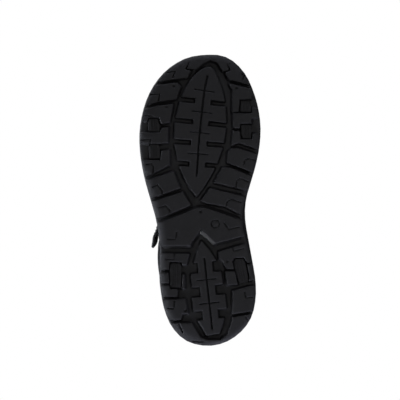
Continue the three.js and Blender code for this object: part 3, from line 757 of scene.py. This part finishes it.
def build_footbed():
    outline = plan_outline("footbed", 2.5, midsole_top)
    levels = [(0, 0.0), (0.5, 0.0), (0.8, 0.15), (0.92, 0.5), (0.985, 1.1), (1.0, 2.0), (0.985, 3.0),
              (0.92, 4.0), (0.85, 4.8), (0.76, 5.6), (0.69, 6.6)]
    edge_points = [p.xy for p in inset(outline, levels[-1][1])]

    def on_bed(v):
        rise = bed_height(v.x, v.y) - midsole_top(v.y) - BED
        return v.x, v.y, midsole_top(v.y) + BED_EDGE + rise * smoothstep(nearest(v, edge_points) / 9)

    place = between(lambda y: midsole_top(y) - BED_SUNK, lambda y: midsole_top(y) + BED_RIM)
    shell = moulded(outline, levels, place, (12, 2.2), on_bed)
    made = shell.object("footbed_foam", FOOTBED, "sole_and_upper", "footbed_foam", 40)
    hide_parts("footbed")


build_outsole()
build_midsole()
build_footbed()


# ---------- side panels and shank


def panel_plan(name):
    """The panel's outline as points on its inner face's plane, with that plane's axes and its thickness."""
    bm = clean_copy(name)
    bmesh.ops.dissolve_limit(bm, angle_limit=math.radians(0.5), verts=bm.verts, edges=bm.edges)
    big = sorted(bm.faces, key=lambda f: -f.calc_area())[:2]
    inner, outer = sorted(big, key=lambda f: abs(f.calc_center_median().x))
    out = -inner.normal.copy()
    thickness = (outer.calc_center_median() - inner.calc_center_median()).dot(out)
    origin = inner.calc_center_median()
    level = Vector((0, 1, 0))
    side = (level - out * level.dot(out)).normalized()
    up = out.cross(side)
    ring = [Vector(((v.co - origin).dot(side), (v.co - origin).dot(up), 0)) for v in inner.verts]
    bm.free()
    if area(ring) < 0:
        ring = ring[::-1]
    place = lambda p, height: origin + side * p[0] + up * p[1] + out * height
    return ring, place, out, thickness


PANEL_RIB, PANEL_PITCH = 0.22, 5.5  # half height and spacing of the panels' moulded ribs
STITCH_SINK = 0.22  # how far the panels' stitches lie below the face, clear of the heel strap's swing


def build_panel(name):
    """A moulded side panel: rolled edges, a raised border and a field of shallow moulded ribs."""
    ring, place, out, thickness = panel_plan(name)
    outline = rounded(simplified(ring, 0.3, 2), 2.5, 2.2)
    levels = [(0, 0.5), (0.2, 0.1), (0.6, 0), (thickness - 0.7, 0), (thickness - 0.25, 0.15),
              (thickness, 0.6), (thickness, 2.6), (thickness - 0.3, 3.1), (thickness - 0.5, 3.4)]
    front_points = [p.xy for p in inset(outline, levels[-1][1])]

    def on_front(v):
        wave = PANEL_RIB * math.sin((v.x + v.y * 0.35) * 2 * math.pi / PANEL_PITCH)
        return place(v, levels[-1][0] + wave * smoothstep((nearest(v, front_points) - 1) / 2.5))

    shell = moulded(outline, levels, place, (8, 1.1), on_front)
    made = shell.object(f"{name}_panel", PANEL, "sole_and_upper", "side_panel", 40)
    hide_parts(name)
    threads = Shell()
    line = [place(p, thickness - STITCH_SINK) for p in stepped(inset(outline, 1.7), 1.0)]
    stitch_line(threads, line + line[:1], [out] * (len(line) + 1))
    threads.object(f"{name}_stitches", THREAD, "sole_and_upper", "webbing", 60)


# ---------- ribbons


def ribbon_of(name):
    """The centre line, width direction, width and thickness of a CAD band, in millimetres.

    A band is an extruded strip, so its two side faces are flat outlines with just four square corners."""
    bm = clean_copy(name)
    bmesh.ops.dissolve_limit(bm, angle_limit=math.radians(0.5), verts=bm.verts, edges=bm.edges)
    sides = sorted(bm.faces, key=lambda f: -len(f.verts))[:2]
    across = sides[0].normal.copy()
    ring = [v.co.copy() for v in sides[0].verts]
    width = abs((sides[0].calc_center_median() - sides[1].calc_center_median()).dot(across))
    bm.free()
    count = len(ring)
    off_square = lambda i: abs((ring[i] - ring[i - 1]).angle(ring[(i + 1) % count] - ring[i]) - math.pi / 2)
    corners = sorted(sorted(range(count), key=off_square)[:4])
    spans = [(corners[k], corners[(k + 1) % 4]) for k in range(4)]
    lengths = [(b - a) % count for a, b in spans]
    first = max(range(2), key=lambda k: lengths[k] + lengths[k + 2])
    one = [ring[(spans[first][0] + k) % count] for k in range(lengths[first] + 1)]
    two = [ring[(spans[first + 2][0] + k) % count] for k in range(lengths[first + 2] + 1)][::-1]
    thickness = (one[0] - two[0]).length
    steps = max(len(one), len(two)) * 3
    shift = -across * width / 2
    line = [(p + q) / 2 + shift for p, q in zip(evenly(one, steps), evenly(two, steps))]
    return line, across, width, thickness


def evenly(points, steps):
    """Points at equal distances along a line."""
    far = [0.0]
    for a, b in zip(points, points[1:]):
        far.append(far[-1] + (b - a).length)
    out, k = [], 0
    for i in range(steps + 1):
        want = far[-1] * i / steps
        while k < len(points) - 2 and far[k + 1] < want:
            k += 1
        span = far[k + 1] - far[k]
        out.append(points[k].lerp(points[k + 1], (want - far[k]) / span if span else 0))
    return out


def smooth_line(points, spacing, passes):
    """A line with its facets eased away, at about that spacing. Its ends stay."""
    line = evenly(points, max(4, round(line_length(points) / spacing)))
    for _ in range(passes):
        line = [line[0]] + [(a + b * 2 + c) / 4 for a, b, c in zip(line, line[1:], line[2:])] + [line[-1]]
    return line


def line_length(points):
    return sum((b - a).length for a, b in zip(points, points[1:]))


def frames(line, across):
    """Along, out and across at each point. Out is the left of the way the line runs, about across.
    across is one direction, or one for each point."""
    out = []
    for i in range(len(line)):
        along = (line[min(len(line) - 1, i + 1)] - line[max(0, i - 1)]).normalized()
        side = across[i] if isinstance(across, list) else across
        out.append((along, side.cross(along).normalized(), side))
    return out


EDGE_TURNS = (0.5, 1.05, math.pi / 2, 2.09, 2.64)  # where a strap's round edge has its points


def flat_section(width, thickness, edge, steps):
    """A strap's cross-section as (across, out) points: flat faces with round edges."""
    half, t = width / 2, thickness / 2
    top = [(-half + edge + (width - 2 * edge) * i / steps, t) for i in range(steps + 1)]
    right = [(half - edge + edge * math.sin(a), t * math.cos(a)) for a in EDGE_TURNS]
    bottom = [(x, -y) for x, y in reversed(top)]
    left = [(-x, -y) for x, y in right]
    return top + right + bottom + left


def sweep(shell, line, across, section_at):
    """A closed ribbon: section_at(share, distance) gives its cross-section there.
    UV is metres along and across."""
    rows, uvs, distance = [], [], 0
    total = line_length(line)
    for i, (p, (_, out, side)) in enumerate(zip(line, frames(line, across))):
        if i:
            distance += (p - line[i - 1]).length
        section_points = section_at(distance / total, distance)
        rows.append([p + side * x + out * y for x, y in section_points])
        uvs += [(distance * MM, x * MM + UV_MIDDLE) for x, y in section_points]
    tube(shell, rows, uvs)


def outward(line, across):
    """+1 where the out direction points away from the middle of the foot, else -1."""
    middle = Vector((-3, line[len(line) // 2].y, 50))
    vote = sum(out.dot(p - middle) for p, (_, out, _) in zip(line, frames(line, across)))
    return 1 if vote > 0 else -1


# ---------- stitching


# A stitch: places along it with the thread's rise and thickness there, and the turns round the thread.
STITCH_ARC = ((-0.5, -0.3, 0.6), (-0.3, 0.1, 1), (0, 0.2, 1.05), (0.3, 0.1, 1), (0.5, -0.3, 0.6))
THREAD_TURNS = (0.3, 1.35, 2.4, 3.45, 4.5, 5.55)
STITCH_PITCH, STITCH_SHARE = 3.0, 0.72  # from one stitch to the next, and the part of it that is thread
EDGE_MARGIN = 2.0
TACK_ROWS, TACK_PITCH, TACK_STEP, TACK_LEAN = 2, 2.2, 1.1, 0.35


def stitch(shell, at, along, out, length, radius=0.28):
    """One stitch: a short thread that dips into the cloth at both ends."""
    side = along.cross(out)
    rows = []
    for t, rise, fat in STITCH_ARC:
        middle = at + along * length * t + out * rise
        rows.append([middle + (side * math.cos(a) + out * math.sin(a)) * radius * fat
                     for a in THREAD_TURNS])
    tube(shell, rows)


def stitch_line(shell, points, outs):
    """Stitches along a line of points, standing out along outs."""
    count = max(1, round(line_length(points) / STITCH_PITCH))
    even = evenly(points, count * 2)
    for i in range(count):
        a, b = even[2 * i], even[2 * i + 2] if 2 * i + 2 < len(even) else even[-1]
        middle = (a + b) / 2
        near = min(range(len(points)), key=lambda k: (points[k] - middle).length)
        stitch(shell, middle, (b - a).normalized(), outs[near], (b - a).length * STITCH_SHARE)


def edge_stitches(shell, line, across, width, thickness, start, end):
    """Two rows of stitches beside a ribbon's edges, between two shares of its length."""
    low, high = round(start * (len(line) - 1)), round(end * (len(line) - 1))
    placed = [(p, out, side) for p, (_, out, side) in zip(line, frames(line, across))][low:high + 1]
    outs = [out for _, out, _ in placed]
    for way in (-1, 1):
        edge = way * (width / 2 - EDGE_MARGIN)
        stitch_line(shell, [p + side * edge + out * (thickness / 2) for p, out, side in placed], outs)


def bar_tack(shell, line, across, width, thickness, share):
    """Dense zigzag bars straight across a ribbon."""
    i = round(share * (len(line) - 1))
    along, out, side = frames(line, across)[i]
    span = width - 2 * EDGE_MARGIN
    count = max(4, round(span / TACK_STEP))
    for row in range(TACK_ROWS):
        base = line[i] + along * (row * TACK_PITCH) + out * thickness / 2
        for k in range(count):
            lean = (along + side * (TACK_LEAN if k % 2 else -TACK_LEAN)).normalized()
            stitch(shell, base + side * (span * (k + 0.5) / count - span / 2), lean, out, 1.9, 0.3)


# ---------- straps


BODY_OF = {n: body for body, members in frame["record"]["behaviour"]["bodies"].items() for n in members}


def oriented(name):
    """A band's line, run so that its out direction points away from the foot."""
    line, across, width, thickness = ribbon_of(name)
    if outward(line, across) < 0:
        across = -across
    return line, across, width, thickness


HEEL_END_FLARE, FLARE_FROM, FLARE_RUN = math.radians(12), 5, 20
SELVEDGE = 0.12  # how much a webbing's edges stand out
WEBBING_STEP, TAPE_STEP, TAB_STEP, PAD_STEP = 1.6, 2.0, 0.45, 1.1
TAB_TIP = 0.72  # where a tab starts to round off
TAB_RIDGES, TAB_RIDGE, RIDGES_FROM, RIDGES_TO = 7, 0.28, 0.2, 0.8
RING_VOXEL = 0.00032


def flared(name, line, across, width):
    """The heel strap's slack end turns its lower edge out, more towards its tip. Other bands stay."""
    if BODY_OF[name] != "heel_end":
        return line, across
    low = -1 if across.z > 0 else 1
    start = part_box("heel_ring")[0].y / MM + FLARE_FROM
    middles, turned = [], []
    for p, (_, out, side) in zip(line, frames(line, across)):
        angle = HEEL_END_FLARE * smoothstep((start - p.y) / FLARE_RUN)
        away = out if out.x > 0 else -out
        before = side * low
        after = before * math.cos(angle) + away * math.sin(angle)
        middles.append(p + (after - before) * width / 4)
        turned.append(after * low)
    return middles, turned


def woven_section(width, thickness):
    """Webbing: flat with thicker selvedges."""
    out = []
    for x, y in flat_section(width, thickness, 0.8, 12):
        lip = SELVEDGE * math.exp(-(((width / 2 - 1.4 - abs(x)) / 0.7) ** 2))
        out.append((x, y * (1 + lip / (thickness / 2))))
    return out


def tape_section(width, thickness):
    return flat_section(width, thickness, 0.35, 8)


def build_band(name, kind, material, slot, step, passes, profile):
    """A band with the same cross-section all along, where profile(width, thickness) gives it."""
    line, across, width, thickness = oriented(name)
    line, across = flared(name, smooth_line(line, step, passes), across, width)
    points = profile(width, thickness)
    shell = Shell()
    sweep(shell, line, across, lambda share, distance: points)
    made = shell.object(f"{name}_{kind}", material, BODY_OF[name], slot, 50, uvs=True)
    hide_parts(name)
    return line, across, width, thickness


def build_webbing(name):
    return build_band(name, "webbing", WEBBING, "webbing", WEBBING_STEP, 2, woven_section)


def build_tape(name, material):
    build_band(name, "tape", material, "hook_and_loop", TAPE_STEP, 1, tape_section)


def build_tab(name):
    """A moulded pull tab: it thins and rounds off towards its tip, with grip ridges across."""
    line, across, width, thickness = oriented(name)
    strap = ribbon_of(name.replace("pull_tab", "strap_end"))[0]
    if nearest(line[0], strap) > nearest(line[-1], strap):
        line, across = line[::-1], -across
    face = outward(line, across)
    line, across = flared(name, smooth_line(line, TAB_STEP, 1), across, width)

    def at(share, distance):
        tip = max(0.0, share - TAB_TIP) / (1 - TAB_TIP)
        narrow = math.sqrt(max(0.0, 1 - tip**2 * 0.75))
        thick = thickness * (1 - 0.35 * tip**2)
        ridge = 0.0
        if RIDGES_FROM < share < RIDGES_TO:
            turn = (share - RIDGES_FROM) / (RIDGES_TO - RIDGES_FROM) * math.pi * TAB_RIDGES
            ridge = TAB_RIDGE * max(0.0, math.sin(turn)) ** 2
        points = flat_section(width * narrow, thick - 0.3, 0.9, 10)
        inner = width * narrow / 2 - 2.6
        return [(x, y + face * ridge if y * face > 0.2 and abs(x) < inner else y) for x, y in points]

    shell = Shell()
    sweep(shell, line, across, at)
    made = shell.object(f"{name}_rubber", TAB_RUBBER, BODY_OF[name], "pull_tab_rubber", 40, uvs=True)
    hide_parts(name)


def build_ring(name):
    """A moulded two-bar ring, its corners and edges rounded as one moulding."""
    made = in_scene(f"{name}_moulding", frame["nodes"][name].data.copy())
    rounding = made.modifiers.new("remesh", "REMESH")
    rounding.mode = "VOXEL"
    rounding.voxel_size = RING_VOXEL
    rounding.use_smooth_shade = True
    relax = made.modifiers.new("relax", "SMOOTH")
    relax.factor = 0.5
    relax.iterations = 5
    thin = made.modifiers.new("thin", "DECIMATE")
    thin.ratio = 0.25
    graph = bpy.context.evaluated_depsgraph_get()
    final = bpy.data.meshes.new_from_object(made.evaluated_get(graph))
    made.modifiers.clear()
    made.data = final
    final.materials.clear()
    final.materials.append(PLASTIC)
    for polygon in final.polygons:
        polygon.use_smooth = True
        polygon.material_index = 0
    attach(made, BODY_OF[name])
    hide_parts(name)


def build_pad(name, channels, wrinkle):
    """A lined foam pad: crowned, with a bound edge, sewn channels across it and soft creases."""
    line, across, width, thickness = oriented(name)
    line = smooth_line(line, PAD_STEP, 3)
    total = line_length(line)

    def at(share, distance):
        end = min(distance, total - distance)
        round_off = math.sqrt(min(1.0, (end + 0.4) / 7))
        full = min(1.0, 0.45 + 0.55 * min(1, end / 5))
        near = min(abs(share - (k + 1) / (channels + 1)) * total for k in range(channels))
        groove = 0.5 * math.exp(-((near / 1.1) ** 2))
        wide = width * (0.72 + 0.28 * round_off)
        points = []
        for x, y in flat_section(wide, thickness * full, thickness * 0.45, 18):
            edge_gap = width / 2 - abs(x)
            binding = 0.35 * math.exp(-(((edge_gap - 3.0) / 0.8) ** 2))
            crown = 0.3 * smoothstep((edge_gap - 1.5) / 5) - binding
            soft = noise.noise(Vector((distance / 9, x / 6, wrinkle))) * 0.28
            lift = (crown + soft - groove * smoothstep((edge_gap - 2) / 2)) * full
            points.append((x, y + (lift if y > 0 else -lift)))
        return points

    shell = Shell()
    sweep(shell, line, across, at)
    made = shell.object(f"{name}_lining", LINING, BODY_OF[name], "pad_lining", 60, uvs=True)
    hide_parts(name)


def build_closure(name):
    """A strap's bands, tapes, tab and ring, with the bar tacks and edge rows that hold them together."""
    tacks = {"strap": (0.06, 0.55), "strap_end": (0.84,), "ring_keeper": (0.22,)}
    bands = {part: build_webbing(f"{name}_{part}") for part in tacks}
    build_tape(f"{name}_loop_tape", LOOPS)
    build_tape(f"{name}_hook_tape", HOOKS)
    build_tab(f"{name}_pull_tab")
    build_ring(f"{name}_ring")
    for part, band in bands.items():
        threads = Shell()
        for share in tacks[part]:
            bar_tack(threads, *band, share)
        if part == "strap_end":
            edge_stitches(threads, *band, 0.12, 0.82)
        threads.object(f"{name}_{part}_stitches", THREAD, BODY_OF[f"{name}_{part}"], "webbing", 60)


for closure, channels, wrinkle in (("toe", 3, 1.5), ("instep", 3, 4.5), ("heel", 4, 7.5)):
    build_closure(closure)
    build_pad(f"{closure}_pad", channels, wrinkle)

for side in ("lateral", "medial"):
    build_panel(f"{side}_quarter")
frame["nodes"]["shank_plate"].material_slots[0].material = NYLON

# ---------- stage, light and camera


def emitter(name, size, energy, at, towards, colour=(1, 1, 1), shines=True):
    light = bpy.data.lights.new(name, "AREA")
    light.shape = "RECTANGLE"
    light.size, light.size_y = size
    light.energy = energy
    light.color = colour
    lamp = in_scene(name, light)
    lamp.location = at
    lamp.rotation_euler = (Vector(towards) - Vector(at)).to_track_quat("-Z", "Y").to_euler()
    lamp.visible_camera = False
    lamp.visible_glossy = shines


FLOOR_SIZE, FLOOR_GAP, FLOOR_GLOW = 60, 0.0005, 0.97
WORLD_FILL = 0.03  # the background's strength as a light
LENS, SENSOR = 250, 36
VIEW_SPAN, VIEW_PLANE = 0.4, 0.018  # the picture's width in metres, at this height over the ground


def build_floor():
    """A pale floor that is only there from above: from below it neither shows nor shades."""
    bpy.ops.mesh.primitive_plane_add(size=FLOOR_SIZE, location=(0, 0, -FLOOR_GAP))
    floor = bpy.context.object
    floor.name = "floor"
    material, tree, surface = shader("floor_paper", (0.9, 0.9, 0.9), 0.9)
    shade = noise_at(tree, 2, 3)
    tinted(tree, surface, shade, (0.1, 0.1, 0.1), (0.12, 0.12, 0.12))
    surface.inputs["Emission Color"].default_value = (1, 1, 1, 1)
    surface.inputs["Emission Strength"].default_value = FLOOR_GLOW
    clear = node(tree, "BsdfTransparent")
    back = node(tree, "NewGeometry").outputs["Backfacing"]
    both = node(tree, "MixShader", {0: back, 1: surface.outputs[0], 2: clear.outputs[0]})
    tree.links.new(both.outputs[0], tree.nodes["Material Output"].inputs["Surface"])
    floor.data.materials.append(material)
    floor.visible_shadow = False
    floor.visible_diffuse = False
    floor.visible_glossy = False


def build_world():
    """A white background that lights the object only softly."""
    scene = bpy.context.scene
    scene.world = bpy.data.worlds.new("studio")
    scene.world.use_nodes = True
    tree = scene.world.node_tree
    background = tree.nodes["Background"]
    background.inputs["Color"].default_value = (1, 1, 1, 1)
    seen = node(tree, "LightPath").outputs["Is Camera Ray"]
    tree.links.new(remapped(tree, seen, 0, 1, WORLD_FILL), background.inputs["Strength"])
    scene.view_settings.view_transform = "Standard"
    scene.view_settings.look = "None"


def build_camera():
    camera = bpy.data.cameras.new("camera")
    camera.lens = LENS
    camera.sensor_width = SENSOR
    camera.clip_start = 0.01
    camera.clip_end = 50
    made = in_scene("camera", camera)
    distance = VIEW_SPAN * LENS / SENSOR - VIEW_PLANE
    made.matrix_world = Matrix(((-1, 0, 0, 0), (0, 1, 0, 0), (0, 0, -1, -distance), (0, 0, 0, 1)))
    bpy.context.scene.camera = made


build_floor()
build_world()
emitter("under_key", (0.7, 0.7), 4.7, (-0.6, 0.15, -1.55), (0, 0, 0))
emitter("rim_lateral", (1.0, 0.1), 18, (1.2, -0.35, -0.01), (0, -0.02, 0), (0.86, 0.9, 1))
emitter("rim_toe", (0.9, 0.2), 5, (0.1, 1.2, -0.1), (0, 0.05, 0), (0.86, 0.88, 1))
emitter("rim_heel", (0.9, 0.2), 9, (-0.45, -1.15, -0.14), (0, -0.05, 0), (0.8, 0.82, 1))
emitter("rim_low", (0.35, 0.2), 4, (0.82, -0.88, -0.42), (0, -0.04, 0), (0.92, 0.95, 1))
emitter("top_soft", (1.6, 1.6), 42, (-0.4, -0.5, 1.8), (0, 0, 0), shines=False)
emitter("top_medial", (0.8, 0.8), 16, (-1.3, 0.3, 0.8), (0, 0, 0.03), shines=False)
emitter("top_side", (0.8, 0.8), 14, (1.2, 0.9, 0.9), (0, 0, 0))
build_camera()
